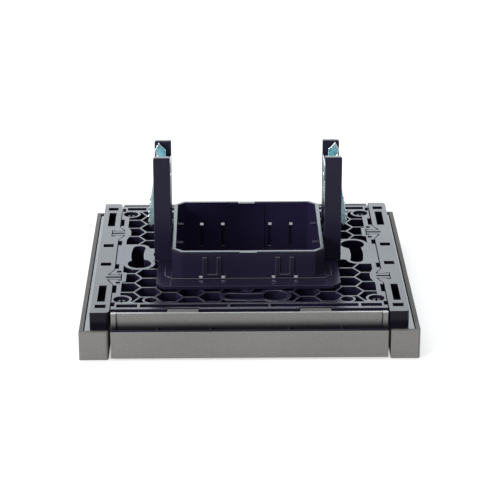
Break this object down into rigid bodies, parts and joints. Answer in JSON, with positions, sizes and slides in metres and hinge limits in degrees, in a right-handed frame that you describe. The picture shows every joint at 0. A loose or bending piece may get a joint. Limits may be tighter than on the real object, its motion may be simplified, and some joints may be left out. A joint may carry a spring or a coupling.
{
  "type": "blank plate",
  "caption": "Square blank cover plate on a honeycomb support frame, with an open rear box and claw legs that grip the inside of a wall box.",
  "frame": {"origin": "middle of the plate's outer face", "axes": "+Z into the wall, away from the face; +X to the right and +Y to the far edge, seen from behind as in the picture"},
  "size_m": [0.087, 0.087, 0.0421],
  "materials": {
    "metallic_grey": "satin metallic lacquer over plastic",
    "black_plastic": "satin moulded black",
    "zinc_steel": "bright blue-white zinc plate",
    "dark_steel": "blackened steel"
  },
  "bodies": {
    "plate": {"blank_cover": "metallic_grey", "right_end_trim": "metallic_grey", "left_end_trim": "metallic_grey", "support_frame": "black_plastic", "rear_box": "black_plastic", "right_end_rail": "black_plastic", "left_end_rail": "black_plastic", "right_claw_leg": "black_plastic", "left_claw_leg": "black_plastic", "corner_screws": "dark_steel"},
    "right_screw": {"right_claw_screw": "zinc_steel"},
    "right_nut": {"right_claw_nut": "zinc_steel"},
    "right_claw": {"right_claw": "zinc_steel"},
    "left_screw": {"left_claw_screw": "zinc_steel"},
    "left_nut": {"left_claw_nut": "zinc_steel"},
    "left_claw": {"left_claw": "zinc_steel"}
  },
  "joints": [
    {"name": "right_screw_turn", "type": "hinge", "parent": "plate", "child": "right_screw", "pos_m": [0.0228, 0, 0.0117], "axis": [0, 0, 1], "range_deg": [0, 3600]},
    {"name": "right_nut_run", "type": "slide", "parent": "plate", "child": "right_nut", "axis": [0, 0, -1], "range_m": [0, 0.0045]},
    {"name": "right_claw_swing", "type": "hinge", "parent": "right_nut", "child": "right_claw", "pos_m": [0.0228, 0, 0.0357], "axis": [0, -1, 0], "range_deg": [0, 12]},
    {"name": "left_screw_turn", "type": "hinge", "parent": "plate", "child": "left_screw", "pos_m": [-0.0228, 0, 0.0117], "axis": [0, 0, 1], "range_deg": [0, 3600]},
    {"name": "left_nut_run", "type": "slide", "parent": "plate", "child": "left_nut", "axis": [0, 0, -1], "range_m": [0, 0.0045]},
    {"name": "left_claw_swing", "type": "hinge", "parent": "left_nut", "child": "left_claw", "pos_m": [-0.0228, 0, 0.0357], "axis": [0, 1, 0], "range_deg": [0, 12]}
  ],
  "couplings": [
    {"joint": "right_screw_turn", "follows": "right_nut_run", "rad_per_m": 13962},
    {"joint": "right_claw_swing", "follows": "right_nut_run", "rad_per_m": 46.53},
    {"joint": "left_screw_turn", "follows": "left_nut_run", "rad_per_m": 13962},
    {"joint": "left_claw_swing", "follows": "left_nut_run", "rad_per_m": 46.53}
  ]
}
